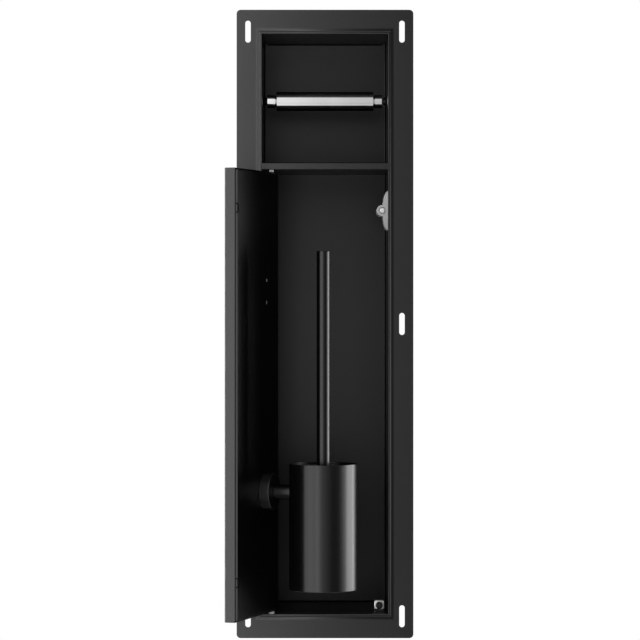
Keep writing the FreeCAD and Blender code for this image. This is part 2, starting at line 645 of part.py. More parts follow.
# --- rosette: base plate with a boss, two screws and nuts, cover cup, stud and post
def disc(b, y0, y1, r, x=None, z=None, hole=None):
    """A round pad along the door's own y from y0 to y1."""
    s = sketch(b, "XZ_Plane", -q(y0))
    circle(s, rx if x is None else x, rz if z is None else z, r)
    if hole is not None:
        circle(s, rx if x is None else x, rz if z is None else z, hole)
    return pad(b, s, q(y1) - y0, back=True)


b = body("rosette_base")
disc(b, pt, pt + 3, 19.0)
disc(b, pt + 3, pt + 12, 6.5)
s = sketch(b, "XZ_Plane", -pt)
circle(s, rx, rz + 14, 2.0)
circle(s, rx, rz - 14, 2.0)
circle(s, rx, rz, 2.5)
pocket(b, s, 14)
on_door(b)
node(b, "rosette_base")

parts = []
for k, dz in enumerate((14, -14)):
    b = body("rosette_screw_%d" % k)
    disc(b, pt - 9, pt + 3, 2.0, rx, rz + dz)
    disc(b, pt + 3, pt + 5.2, 3.6, rx, rz + dz)
    fillet(b, 0.9, lambda e: near(e.Length, 2 * math.pi * 3.6, 0.01) and near(e.Vertexes[0].Point.y, 11.8))
    on_door(b)
    parts.append(b)
node(group("rosette_screws", parts), "rosette_screws")
parts = []
for k, dz in enumerate((14, -14)):
    b = body("rosette_nut_%d" % k)
    s = sketch(b, "XZ_Plane", -(pt - 1.2))
    r6 = 4.0
    poly(s, [(rx + r6 * math.cos(math.radians(60 * i)), rz + dz + r6 * math.sin(math.radians(60 * i))) for i in range(6)])
    circle(s, rx, rz + dz, 2.0)
    pad(b, s, 3.2)
    on_door(b)
    parts.append(b)
node(group("rosette_nuts", parts), "rosette_nuts")

b = body("rosette_cover")
rr, rt = q("rosette_rad"), q("rosette_thick")
disc(b, pt + 0.2, pt + rt, rr)
fillet(b, 1.6, lambda e: near(e.Length, 2 * math.pi * 23.0, 0.01) and near(e.Vertexes[0].Point.y, 20.2))
s = sketch(b, "XZ_Plane", -(pt + rt - 1.4))
circle(s, rx, rz, rr - 1.4)
pocket(b, s, rt + 2, back=True)
s = sketch(b, "XZ_Plane", -pt)
circle(s, rx, rz, 6.5)
pocket(b, s, 40)
on_door(b)
node(b, "rosette_cover")

cy, cr, cw = q("cup_y"), q("cup_rad"), q("cup_wall")
b = body("holder_post")
disc(b, pt + rt, cy - cr + 1.4, "post_rad")
s = sketch(b, "XY_Plane", rz)
circle(s, rx, cy, cr)
pocket(b, s, 60, both=True)
s = sketch(b, "XZ_Plane", -(pt + rt))
circle(s, rx, rz, 2.5)
pocket(b, s, 30)
fillet(b, 0.5, lambda e: near(e.Length, 2 * math.pi * 9.4, 0.01) and near(e.Vertexes[0].Point.y, 20.2))
on_door(b)
node(b, "holder_post")
b = body("post_stud")
disc(b, pt + 1.0, pt + rt + 8, 2.5)
on_door(b)
node(b, "post_stud")
b = body("cup_screw")
disc(b, pt + rt + 9, cy - cr + cw + 0.3, 2.5)
disc(b, cy - cr + cw + 0.3, cy - cr + cw + 2.5, 4.5)
fillet(b, 1.2, lambda e: near(e.Length, 2 * math.pi * 4.5, 0.01) and e.Vertexes[0].Point.y > 45.0)
on_door(b)
node(b, "cup_screw")

# --- brush_cup: round steel cup open at the top
cl, ct = q("cup_low_z"), q("cup_top_z")
b = body("brush_cup")
s = sketch(b, "XY_Plane", cl)
circle(s, rx, cy, cr)
pad(b, s, ct - cl)
fillet(b, 1.6, lambda e: near(e.Length, 2 * math.pi * 42.65, 0.01) and near(e.Vertexes[0].Point.z, -331.7))
s = sketch(b, "XY_Plane", cl + cw)
circle(s, rx, cy, cr - cw)
pocket(b, s, 200, back=True)
fillet(b, 0.4, lambda e: near(e.BoundBox.ZMin, -174.2) and near(e.BoundBox.ZMax, -174.2))
s = sketch(b, "XZ_Plane", -(cy - cr - 1))
circle(s, rx, rz, 2.5)
pocket(b, s, 10)
on_door(b)
node(b, "brush_cup")

# --- cup_liner: plastic inner cup that lifts out, with a centring ring at the top
lr, lw, lt = q("liner_rad"), q("liner_wall"), q("liner_top_z")
b = body("cup_liner")
s = sketch(b, "XY_Plane", cl + cw + 0.1)
circle(s, rx, cy, lr)
pad(b, s, lt - cl - cw - 0.1)
s = sketch(b, "XY_Plane", lt - 1.5)
circle(s, rx, cy, cr - cw - 0.35)
pad(b, s, 1.5)
s = sketch(b, "XY_Plane", cl + cw + 1.6)
circle(s, rx, cy, lr - lw)
pocket(b, s, 200, back=True)
fillet(b, 1.0, lambda e: near(e.Length, 2 * math.pi * 38.0, 0.01) and e.Vertexes[0].Point.z < -330)
fillet(b, 0.5, lambda e: near(e.Length, 2 * math.pi * 36.5, 0.01) and near(e.Vertexes[0].Point.z, -177.5))
on_door(b)
node(b, "cup_liner")

# ================================================================ BRUSH (lifts out of the liner)
rd, rtp = q("rod_rad"), q("rod_top_z")
hr, hl2, ht = q("head_rad"), q("head_low_z"), q("head_top_z")


def rod_disc(b, z0, z1, r, hole=None):
    s = sketch(b, "XY_Plane", z0)
    circle(s, rx, cy, r)
    if hole is not None:
        circle(s, rx, cy, hole)
    return pad(b, s, q(z1) - z0)


b = body("brush_rod")
rod_disc(b, -262, rtp - 1.5, rd, rd - q("rod_wall"))
on_door(b)
node(b, "brush_rod")
b = body("rod_cap")
rod_disc(b, rtp - 1.5, rtp, rd)
rod_disc(b, rtp - 9, rtp - 1.5, rd - q("rod_wall"))
fillet(b, 0.5, lambda e: near(e.Vertexes[0].Point.z, 91.6))
on_door(b)
node(b, "rod_cap")
b = body("rod_adapter")
rod_disc(b, -262, -242, rd - q("rod_wall"))
rod_disc(b, -276, -262, 3.5)
on_door(b)
node(b, "rod_adapter")
b = body("brush_core")
rod_disc(b, -322, -262, 10.0)
s = sketch(b, "XY_Plane", -262)
circle(s, rx, cy, 3.5)
pocket(b, s, 14)
on_door(b)
node(b, "brush_core")
b = body("brush_bristles")
rod_disc(b, hl2, ht, hr)
fillet(b, 9.0, lambda e: near(e.Vertexes[0].Point.z, -327.9))
fillet(b, 4.0, lambda e: near(e.Vertexes[0].Point.z, -250.0))
s = sketch(b, "XY_Plane", -322)
circle(s, rx, cy, 10.0)
pocket(b, s, 90, back=True)
on_door(b)
node(b, "brush_bristles")

# ================================================================ checks and files
doc.recompute()
bad = []
for o in doc.Objects:
    if "Invalid" in o.State or "Error" in o.State:
        bad.append("%s is %s" % (o.Name, o.State))
for name, o in NODES.items():
    sh = o.Shape
    if sh.isNull() or not sh.isValid():
        bad.append(name + " has no valid shape")
    elif not sh.Solids:
        bad.append(name + " has no solid")
    elif sh.Volume <= 0:
        bad.append(name + " is inside out")
if bad:
    raise RuntimeError("; ".join(bad))
os.makedirs("parts", exist_ok=True)
for name, o in NODES.items():
    o.Shape.exportStep("parts/%s.step" % name)
    bb = o.Shape.BoundBox
    print("%-20s solids %d  x %.2f %.2f  y %.2f %.2f  z %.2f %.2f  vol %.1f" % (name, len(o.Shape.Solids), bb.XMin, bb.XMax, bb.YMin, bb.YMax, bb.ZMin, bb.ZMax, o.Shape.Volume))
print(len(NODES), "nodes")
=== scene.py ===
import json
import math
import random

import bmesh
import bpy
from mathutils import Matrix, Vector

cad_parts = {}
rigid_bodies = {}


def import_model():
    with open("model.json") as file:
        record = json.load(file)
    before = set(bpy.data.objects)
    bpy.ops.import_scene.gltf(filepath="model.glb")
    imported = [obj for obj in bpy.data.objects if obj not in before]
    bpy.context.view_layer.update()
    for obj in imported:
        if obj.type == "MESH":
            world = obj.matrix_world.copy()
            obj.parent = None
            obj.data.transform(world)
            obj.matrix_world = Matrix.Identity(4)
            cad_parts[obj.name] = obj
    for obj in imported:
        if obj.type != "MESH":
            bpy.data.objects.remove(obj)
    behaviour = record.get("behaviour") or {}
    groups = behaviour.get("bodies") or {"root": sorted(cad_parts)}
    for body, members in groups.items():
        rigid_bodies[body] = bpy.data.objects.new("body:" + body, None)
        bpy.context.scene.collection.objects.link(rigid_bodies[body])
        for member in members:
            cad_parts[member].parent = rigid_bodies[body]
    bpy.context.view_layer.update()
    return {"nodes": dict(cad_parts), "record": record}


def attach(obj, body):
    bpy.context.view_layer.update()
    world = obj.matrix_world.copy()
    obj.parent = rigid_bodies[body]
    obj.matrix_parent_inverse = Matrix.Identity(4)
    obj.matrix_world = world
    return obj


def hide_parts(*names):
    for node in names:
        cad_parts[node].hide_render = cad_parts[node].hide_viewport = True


# Recessed roll holder with a brush compartment. Metres, X right, Y into the wall, Z up.
# The origin is the centre of the mounting flange on the wall plane. The door stands open.

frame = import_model()

MM = 0.001
DOOR = Matrix.Translation((-68.1 * MM, -0.8 * MM, 0)) @ Matrix.Rotation(math.radians(-108.2), 4, "Z")  # door frame to row frame
HERE = Matrix.Identity(4)
rnd = random.Random(7)

# ------------------------------------------------------------------ camera
scene = bpy.context.scene
cam = bpy.data.cameras.new("photo_camera")
cam.sensor_fit = "HORIZONTAL"
cam.sensor_width = 36.0
cam.lens = 167.9
cam.shift_x = -0.0078
cam.shift_y = -0.0272
cam.clip_start = 0.1
cam.clip_end = 60.0
camera = bpy.data.objects.new("photo_camera", cam)
camera.location = (0.0, -3.8015, 0.0272)
camera.rotation_euler = (math.radians(90), 0, 0)
scene.collection.objects.link(camera)
scene.camera = camera
scene.view_settings.view_transform = "Standard"
scene.view_settings.look = "None"
scene.view_settings.exposure = 0.0
scene.view_settings.gamma = 1.0


# ------------------------------------------------------------------ materials
class Mat:
    """A node material, built step by step."""

    def __init__(self, name):
        self.m = bpy.data.materials.new(name)
        self.m.use_nodes = True
        self.t = self.m.node_tree
        self.t.nodes.clear()
        self.out = self.t.nodes.new("ShaderNodeOutputMaterial")
        self.b = self.t.nodes.new("ShaderNodeBsdfPrincipled")
        self.link(self.b, "BSDF", self.out, "Surface")
        self.coord = self.t.nodes.new("ShaderNodeTexCoord")
        self.normal = None

    def link(self, a, sa, b, sb):
        self.t.links.new(a.outputs[sa], b.inputs[sb])

    def set(self, **k):
        names = {"rough": "Roughness", "metal": "Metallic", "ior": "IOR", "spec": "Specular IOR Level", "coat": "Coat Weight", "coat_rough": "Coat Roughness", "sheen": "Sheen Weight", "sss": "Subsurface Weight", "aniso": "Anisotropic"}
        for a, v in k.items():
            self.b.inputs[names[a]].default_value = v
        return self

    def stretch(self, scale):
        n = self.t.nodes.new("ShaderNodeMapping")
        n.inputs["Scale"].default_value = scale
        self.link(self.coord, "Object", n, "Vector")
        return n

    def noise(self, scale, detail=3.0, rough=0.5, source=None, distortion=0.0):
        n = self.t.nodes.new("ShaderNodeTexNoise")
        n.inputs["Scale"].default_value = scale
        n.inputs["Detail"].default_value = detail
        n.inputs["Roughness"].default_value = rough
        n.inputs["Distortion"].default_value = distortion
        if source is None:
            self.link(self.coord, "Object", n, "Vector")
        else:
            self.link(source, "Vector", n, "Vector")
        return n

    def cells(self, scale, feature="F1"):
        n = self.t.nodes.new("ShaderNodeTexVoronoi")
        n.feature = feature
        n.inputs["Scale"].default_value = scale
        self.link(self.coord, "Object", n, "Vector")
        return n

    def ramp(self, src, socket, stops):
        n = self.t.nodes.new("ShaderNodeValToRGB")
        e = n.color_ramp.elements
        while len(e) < len(stops):
            e.new(0.5)
        for k, (p, c) in enumerate(stops):
            e[k].position = p
            e[k].color = (*c, 1.0) if isinstance(c, tuple) else (c, c, c, 1.0)
        self.link(src, socket, n, "Fac")
        return n

    def span(self, src, socket, low, high, at=(0.3, 0.7)):
        n = self.t.nodes.new("ShaderNodeMapRange")
        n.inputs["From Min"].default_value = at[0]
        n.inputs["From Max"].default_value = at[1]
        n.inputs["To Min"].default_value = low
        n.inputs["To Max"].default_value = high
        self.link(src, socket, n, "Value")
        return n

    def colour(self, node, socket="Color"):
        self.link(node, socket, self.b, "Base Color")
        return self

    def roughness(self, node, socket="Result"):
        self.link(node, socket, self.b, "Roughness")
        return self

    def bump(self, node, socket, strength, distance):
        n = self.t.nodes.new("ShaderNodeBump")
        n.inputs["Strength"].default_value = strength
        n.inputs["Distance"].default_value = distance
        self.link(node, socket, n, "Height")
        if self.normal is not None:
            self.link(self.normal, "Normal", n, "Normal")
        self.normal = n
        self.link(n, "Normal", self.b, "Normal")
        return self


MAT = {}


def powder(name, dark, light, rough, grain=1.0):
    """Fine satin powder coat: soft pigment clouds, slight gloss change and an orange-peel surface."""
    m = Mat(name).set(ior=1.5)
    cloud = m.noise(9.0, 4.0, 0.55)
    m.colour(m.ramp(cloud, "Fac", [(0.3, dark), (0.7, light)]))
    gloss = m.noise(420.0, 2.0, 0.5)
    m.roughness(m.span(gloss, "Fac", rough - 0.025, rough + 0.025))
    m.bump(m.noise(260.0, 1.0, 0.4), "Fac", 0.10 * grain, 0.00025)
    m.bump(m.noise(1300.0, 2.0, 0.5), "Fac", 0.10 * grain, 0.00010)
    return m.m


MAT["powder_black"] = powder("powder_black", 0.0013, 0.0020, 0.34)
MAT["powder_cup"] = powder("powder_cup", 0.0011, 0.0017, 0.24, 0.6)
# painted light: a paler copy of the black powder for the rosette cover, standing in for light on the cover
MAT["powder_rosette"] = powder("powder_rosette", 0.009, 0.012, 0.24, 0.6)
# painted light: faces that look down get a paler copy of the powder, several times lighter, standing in for light that
# the ceiling and the shelf's underside don't get
MAT["powder_under"] = powder("powder_under", 0.008, 0.010, 0.36)
# painted shade: a darker copy of the powder with hardly any gloss, put in the shadow gaps, on the tight folds and round
# the door's edge tabs
MAT["powder_thin"] = powder("powder_thin", 0.0006, 0.0009, 0.6)
[n for n in MAT["powder_thin"].node_tree.nodes if n.type == "BSDF_PRINCIPLED"][0].inputs["Specular IOR Level"].default_value = 0.1

m = Mat("spindle_chrome").set(metal=1.0)
m.colour(m.ramp(m.noise(60.0, 3.0), "Fac", [(0.3, (0.80, 0.80, 0.805)), (0.7, (0.83, 0.83, 0.83))]))
m.roughness(m.span(m.noise(1.0, 3.0, 0.6, m.stretch((900.0, 60.0, 60.0))), "Fac", 0.07, 0.12))
m.bump(m.noise(1.0, 2.0, 0.5, m.stretch((2600.0, 40.0, 40.0))), "Fac", 0.05, 0.00005)
MAT["spindle_chrome"] = m.m


def moulded(name, dark, light, rough, grain=0.12, sss=0.0):
    """Moulded plastic: faint flow clouds and a fine spark-eroded grain."""
    m = Mat(name).set(ior=1.47, sss=sss)
    m.colour(m.ramp(m.noise(120.0, 3.0, 0.6), "Fac", [(0.3, dark), (0.72, light)]))
    m.roughness(m.span(m.noise(900.0, 2.0), "Fac", rough - 0.05, rough + 0.05))
    m.bump(m.noise(2600.0, 3.0, 0.6), "Fac", grain, 0.00008)
    return m.m


MAT["latch_grey"] = moulded("latch_grey", (0.33, 0.33, 0.33), (0.37, 0.37, 0.37), 0.46)
MAT["tip_white"] = moulded("tip_white", (0.60, 0.60, 0.59), (0.66, 0.66, 0.65), 0.38)
MAT["nylon_white"] = moulded("nylon_white", (0.36, 0.36, 0.35), (0.42, 0.42, 0.41), 0.45)
MAT["block_white"] = moulded("block_white", (0.84, 0.84, 0.82), (0.90, 0.90, 0.88), 0.42)
MAT["liner_plastic"] = moulded("liner_plastic", (0.036, 0.036, 0.037), (0.048, 0.048, 0.049), 0.40)
MAT["bristle_black"] = moulded("bristle_black", (0.014, 0.014, 0.014), (0.030, 0.030, 0.030), 0.36, 0.05)

m = Mat("zinc").set(metal=1.0)
spangle = m.cells(700.0)
m.colour(m.ramp(spangle, "Distance", [(0.1, (0.50, 0.50, 0.51)), (0.8, (0.62, 0.62, 0.63))]))
m.roughness(m.span(m.noise(800.0, 3.0), "Fac", 0.26, 0.38))
m.bump(m.noise(2200.0, 2.0), "Fac", 0.12, 0.00005)
MAT["zinc"] = m.m

m = Mat("spring_steel").set(metal=1.0)
m.colour(m.ramp(m.noise(500.0, 3.0), "Fac", [(0.3, (0.46, 0.46, 0.47)), (0.7, (0.56, 0.56, 0.56))]))
m.roughness(m.span(m.noise(1500.0, 2.0), "Fac", 0.22, 0.32))
MAT["spring_steel"] = m.m

m = Mat("screw_black").set(metal=1.0)
m.colour(m.ramp(m.noise(900.0, 3.0), "Fac", [(0.3, (0.022, 0.022, 0.023)), (0.7, (0.040, 0.040, 0.041))]))
m.roughness(m.span(m.noise(1500.0, 2.0), "Fac", 0.28, 0.40))
MAT["screw_black"] = m.m

m = Mat("magnet_dark").set(metal=1.0)
m.colour(m.ramp(m.noise(700.0, 3.0), "Fac", [(0.3, (0.014, 0.014, 0.015)), (0.7, (0.026, 0.026, 0.027))]))
m.roughness(m.span(m.noise(1200.0, 2.0), "Fac", 0.30, 0.42))
m.bump(m.noise(2400.0, 3.0), "Fac", 0.10, 0.00006)
MAT["magnet_dark"] = m.m

for o in frame["nodes"].values():
    for s in o.material_slots:
        if s.material and s.material.name.split(".")[0] in MAT:
            s.material = MAT[s.material.name.split(".")[0]]

# slots named like the record's: the imported material may own the name, so match by subpart too
SLOT = {p["node"]: p["material_slot"] for p in frame["record"]["subparts"]}
for n, o in frame["nodes"].items():
    for s in o.material_slots:
        s.material = MAT[SLOT[n]]
for n in ("brush_cup", "brush_rod", "rod_cap", "rosette_cover", "holder_post"):
    for s in frame["nodes"][n].material_slots:
        s.material = MAT["powder_cup"]
BODY = {n: b for b, ns in frame["record"]["behaviour"]["bodies"].items() for n in ns}


# ------------------------------------------------------------------ mesh helpers
def finish_piece(name, me, node, mat=None, extra=()):
    """Links a mesh as the visible piece for its node and lets it ride on that node's body."""
    me.name = name
    for p in me.polygons:
        p.use_smooth = True
    me.materials.append(mat or MAT[SLOT[node]])
    for e in extra:
        me.materials.append(e)
    o = bpy.data.objects.new(name, me)
    scene.collection.objects.link(o)
    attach(o, BODY[node])
    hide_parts(node)
    return o


def from_bmesh(bm, where=HERE, scale=MM):
    bm.transform(where @ Matrix.Diagonal((scale, scale, scale, 1)))
    bmesh.ops.recalc_face_normals(bm, faces=bm.faces)
    me = bpy.data.meshes.new("piece")
    bm.to_mesh(me)
    bm.free()
    return me


def even_normals(o, sharp=None):
    """Face-weighted normals, so that flat faces stay flat beside their rounded edges."""
    mod = o.modifiers.new("weighted", "WEIGHTED_NORMAL")
    mod.mode = "FACE_AREA"
    mod.weight = 60
    mod.keep_sharp = True
    return o


def rounded(pts, n=5):
    """A closed outline of (a, r) or (a, r, fillet) points, each corner turned into an arc of its fillet."""
    out = []
    k = len(pts)
    for i in range(k):
        p = Vector(pts[i][:2])
        f = pts[i][2] if len(pts[i]) > 2 else 0.0
        a, b = Vector(pts[i - 1][:2]), Vector(pts[(i + 1) % k][:2])
        if f <= 0:
            out.append((p.x, p.y))
            continue
        u, v = (a - p), (b - p)
        lu, lv = u.length, v.length
        u.normalize()
        v.normalize()
        ang = math.acos(max(-1, min(1, u.dot(v))))
        if ang > math.pi - 0.02:
            out.append((p.x, p.y))
            continue
        d = min(f / math.tan(ang / 2), 0.49 * lu, 0.49 * lv)
        rad = d * math.tan(ang / 2)
        c = p + (u + v).normalized() * (rad / math.sin(ang / 2))
        p0, p1 = p + u * d, p + v * d
        a0 = math.atan2(p0.y - c.y, p0.x - c.x)
        a1 = math.atan2(p1.y - c.y, p1.x - c.x)
        da = (a1 - a0 + math.pi) % (2 * math.pi) - math.pi
        for j in range(n + 1):
            t = a0 + da * j / n
            out.append((c.x + rad * math.cos(t), c.y + rad * math.sin(t)))
    return out


def lathe_into(bm, outline, to, segs=96):
    """Turns a closed outline of (along, radius) about the axis that `to` maps to."""
    rings = []
    for a, r in outline:
        if r < 1e-6:
            v = bm.verts.new(to(a, 0.0, 0.0))
            rings.append([v])
        else:
            rings.append([bm.verts.new(to(a, r * math.cos(2 * math.pi * k / segs), r * math.sin(2 * math.pi * k / segs))) for k in range(segs)])
    n = len(rings)
    for i in range(n):
        p, q = rings[i], rings[(i + 1) % n]
        if len(p) == 1 and len(q) == 1:
            continue
        for k in range(segs):
            k2 = (k + 1) % segs
            if len(p) == 1:
                bm.faces.new((p[0], q[k], q[k2]))
            elif len(q) == 1:
                bm.faces.new((p[k], q[0], p[k2]))
            else:
                bm.faces.new((p[k], q[k], q[k2], p[k2]))


def along_x(y, z):
    return lambda a, u, v: (a, y + u, z + v)


def along_y(x, z):
    return lambda a, u, v: (x + u, a, z + v)


def along_z(x, y):
    return lambda a, u, v: (x + u, y + v, a)


def lathe(name, node, outline, to, where=HERE, segs=96, mat=None, fil=4):
    bm = bmesh.new()
    lathe_into(bm, rounded(outline, fil), to, segs)
    bmesh.ops.remove_doubles(bm, verts=bm.verts, dist=1e-5)
    me = from_bmesh(bm, where)
    me.set_sharp_from_angle(angle=math.radians(33))
    return even_normals(finish_piece(name, me, node, mat))


def dark_pin(o):
    """Gives the thin pin of a spindle end the magnet's dark metal material."""
    o.data.materials.append(MAT["magnet_dark"])
    for p in o.data.polygons:
        c = o.matrix_world @ p.center / MM
        if math.hypot(c.y - 72.0, c.z - 288.0) < 2.52 and abs(c.x) > 73.0:
            p.material_index = 1
    return o


def refine(name, node, width=0.35, segs=3, angle=32, mat=None, also=None, extra=()):
    """A copy of a node's shape with every sharp edge rounded, as coated sheet has."""
    src = frame["nodes"][node].data
    bm = bmesh.new()
    verts = [bm.verts.new(v.co) for v in src.vertices]
    for p in src.polygons:
        try:
            bm.faces.new([verts[i] for i in p.vertices])
        except ValueError:
            pass
    bmesh.ops.remove_doubles(bm, verts=bm.verts, dist=2e-6)
    bmesh.ops.recalc_face_normals(bm, faces=bm.faces)
    bmesh.ops.dissolve_limit(bm, angle_limit=math.radians(0.8), verts=bm.verts, edges=bm.edges, use_dissolve_boundaries=False)
    lim = math.radians(angle)
    edges = [e for e in bm.edges if len(e.link_faces) == 2 and e.calc_face_angle(0) > lim]
    if edges and width > 0:
        bmesh.ops.bevel(bm, geom=edges, offset=width * MM, offset_type="OFFSET", segments=segs, profile=0.5, affect="EDGES", clamp_overlap=True, miter_outer="SHARP", loop_slide=False)
    if also:
        also(bm)
    me = bpy.data.meshes.new(name)
    bmesh.ops.recalc_face_normals(bm, faces=bm.faces)
    bm.to_mesh(me)
    bm.free()
    return even_normals(finish_piece(name, me, node, mat, extra))


def frame_sweep(name, node, outline, fil=5):
    """A frame with mitred corners: the closed outline (outward from the opening, y) runs round the opening."""
    bm = bmesh.new()
    pts = rounded(outline, fil)
    cols = []
    for sx, sz in ((-1, -1), (1, -1), (1, 1), (-1, 1)):
        cols.append([bm.verts.new((sx * (NICHE_X + d), y, sz * (NICHE_Z + d))) for d, y in pts])
    n = len(pts)
    for c in range(4):
        a, b = cols[c], cols[(c + 1) % 4]
        for i in range(n):
            j = (i + 1) % n
            bm.faces.new((a[i], a[j], b[j], b[i]))
    me = from_bmesh(bm)
    me.set_sharp_from_angle(angle=math.radians(38))
    return even_normals(finish_piece(name, me, node))


def cross(w, l):
    """Outline of a cross-slot."""
    return [(w, w), (w, l), (-w, l), (-w, w), (-l, w), (-l, -w), (-w, -w), (-w, -l), (w, -l), (w, -w), (l, -w), (l, w)]


def hexagon(r):
    return [(r * math.cos(math.radians(60 * k)), r * math.sin(math.radians(60 * k))) for k in range(6)]


def driven(bm, to, outline, recess, depth, segs=48, floor=0.5):
    """A turned head or shank: an open outline of (along, radius) from the axis at the far end to the flat's rim, where the drive recess is sunk."""
    rings = []
    for a, r in outline:
        if r < 1e-6:
            rings.append([bm.verts.new(to(a, 0.0, 0.0))])
        else:
            rings.append([bm.verts.new(to(a, r * math.cos(2 * math.pi * k / segs), r * math.sin(2 * math.pi * k / segs))) for k in range(segs)])
    for p, q in zip(rings, rings[1:]):
        for k in range(segs):
            k2 = (k + 1) % segs
            if len(p) == 1:
                bm.faces.new((p[0], q[k], q[k2]))
            else:
                bm.faces.new((p[k], q[k], q[k2], p[k2]))
    top = outline[-1][0]
    back = top + depth
    rim_ring = rings[-1]
    hole = [bm.verts.new(to(top, u, v)) for u, v in recess]
    base = [bm.verts.new(to(back, u * floor, v * floor)) for u, v in recess]
    m = len(recess)
    for k in range(m):
        bm.faces.new((hole[k], hole[(k + 1) % m], base[(k + 1) % m], base[k]))
    bm.faces.new(base)
    edges = [bm.edges.get((rim_ring[k], rim_ring[(k + 1) % segs])) for k in range(segs)]
    edges += [bm.edges.get((hole[k], hole[(k + 1) % m])) for k in range(m)]
    bmesh.ops.triangle_fill(bm, use_beauty=True, use_dissolve=False, edges=edges)


def pieces(name, node, build, where=HERE, mat=None, sharp=30):
    bm = bmesh.new()
    build(bm)
    bmesh.ops.remove_doubles(bm, verts=bm.verts, dist=1e-5)
    me = from_bmesh(bm, where)
    me.set_sharp_from_angle(angle=math.radians(sharp))
    return even_normals(finish_piece(name, me, node, mat))


# ------------------------------------------------------------------ housing
NICHE_X, NICHE_Z = 80.25, 369.0
for node, width in (("front_frame", 0.45), ("housing_wrap", 0.3), ("catch_bracket", 0.25), ("latch_housing", 0.4), ("door_shell", 0.3)):
    refine(node + "_coated", node, width)


def gap_faces(bm):
    """Painted shade on the end sheets' inner rear corners, which lie in the shadow gaps above and below the back wall;
    painted light on the faces that look down at the ceiling's height, which get the paler powder.
    """
    bm.normal_update()
    for f in bm.faces:
        c = f.calc_center_median() / MM
        if 153.9 < c.y < 155.8 and abs(c.z) < NICHE_Z + 0.2 and f.normal.y < -0.15:
            f.material_index = 1
        elif f.normal.z < -0.9 and abs(c.z - NICHE_Z) < 0.2:
            f.material_index = 2


def fold_faces(bm):
    """Painted shade on the shelf's two front bends, which get the dark, almost glossless powder; the upper one opened
    to a radius of 1.4 and half a millimetre proud. Painted light on the faces that look down, which get the paler
    powder.
    """
    high = max(v.co.z / MM for v in bm.verts)
    for v in bm.verts:
        dy, dz = v.co.y / MM + 3.1, v.co.z / MM - high + 0.9
        if dy < 0.001 and dz > -0.001 and math.hypot(dy, dz) > 0.3:
            k = (math.hypot(dy, dz) + 0.5) / math.hypot(dy, dz)
            v.co.y, v.co.z = (-2.6 + dy * k) * MM, (high + dz * k - 0.9) * MM
    bm.normal_update()
    for f in bm.faces:
        c = f.calc_center_median() / MM
        if c.y < -2.65 and abs(f.normal.z) > 0.3:
            f.material_index = 1
        elif f.normal.z < -0.9 and c.z < high - 8.0:
            f.material_index = 2


refine("top_cap_coated", "top_cap", 0.3, also=gap_faces, extra=(MAT["powder_thin"], MAT["powder_under"]))
refine("bottom_cap_coated", "bottom_cap", 0.3, also=gap_faces, extra=(MAT["powder_thin"],))
refine("divider_shelf_coated", "divider_shelf", 0.3, also=fold_faces, extra=(MAT["powder_thin"], MAT["powder_under"]))


def painted_hole_glints_and_tab_shade(bm):
    """Painted highlight and painted shade: pale nylon faces in the bores of the two spare holes stand in for their
    bright glints, and the dark, almost glossless powder round the two edge tabs paints the shade in their notches.
    """
    to_door = DOOR.inverted()
    for f in bm.faces:
        c = to_door @ f.calc_center_median() / MM
        if any(math.hypot(c.x - 38.0, c.z - z) < 2.25 for z in (55.3, 27.3)):
            f.material_index = 1
        elif c.x > 141.0 and any(abs(c.z - z) < 6.4 for z in (143.5, -316.9)):
            f.material_index = 2


refine("door_inner_panel_coated", "door_inner_panel", 0.25, also=painted_hole_glints_and_tab_shade, extra=(MAT["nylon_white"], MAT["powder_thin"]))

# collar: rolled front edge, hollow radius down to the flange
slope = [(1.9 + 6.1 * k / 14, -1.5 - 2.4 * (1 - k / 14) ** 2) for k in range(15)]
frame_sweep("opening_rim_rolled", "opening_rim", [(0, 8.0, 0.25), (0, -4.0, 1.1), (1.25, -4.0, 0.25)] + slope + [(8.0, -1.4), (3.0, -1.4), (3.0, 8.0, 0.25)], 8)

# turned seats of the roll spindle
for node, sg in (("spindle_seat_left", -1), ("spindle_seat_right", 1)):
    prof = [(75.6, 2.65, 0.2), (75.6, 4.6, 0.35), (76.7, 4.9, 0.6), (78.0, 5.6, 0.8), (79.2, 6.9, 0.8), (80.25, 8.4), (80.25, 5.0), (81.75, 5.0), (81.75, 7.5), (83.25, 7.5, 0.5), (83.25, 0), (81.45, 0), (81.45, 2.65)]
    lathe(node + "_turned", node, [(a[0] * sg,) + tuple(a[1:]) for a in prof], along_x(72.0, 288.0), segs=72)

# catch
MAG = (69.2, -359.2)
lathe("catch_magnet_ring", "catch_magnet", [(8.1, 2.9, 0.2), (8.1, 4.5, 0.45), (11.1, 4.5), (11.1, 1.5), (9.4, 1.5)], along_y(*MAG), segs=72)
pieces("catch_screw_slotted", "catch_screw", lambda bm: driven(bm, along_y(*MAG), [(22.0, 0), (22.0, 1.0), (21.5, 1.5), (9.4, 1.5), (8.35, 2.62), (8.2, 2.5)], cross(0.34, 1.5), 1.1))
bm = bmesh.new()
v = bmesh.ops.create_cube(bm, size=1.0)["verts"]
for w in v:
    w.co = Vector((69.1 + w.co.x * 12.2, 14.3 + w.co.y * 6.4, -358.65 + w.co.z * 10.5))
bmesh.ops.bevel(bm, geom=[e for e in bm.edges if abs((e.verts[0].co - e.verts[1].co).y) > 1.0], offset=1.8, offset_type="OFFSET", segments=8, profile=0.5, affect="EDGES")
bmesh.ops.bevel(bm, geom=[e for e in bm.edges if len(e.link_faces) == 2 and e.calc_face_angle(0) > 1.2], offset=0.7, offset_type="OFFSET", segments=4, profile=0.5, affect="EDGES")
even_normals(finish_piece("catch_block_rounded", from_bmesh(bm), "catch_block", MAT["block_white"]))
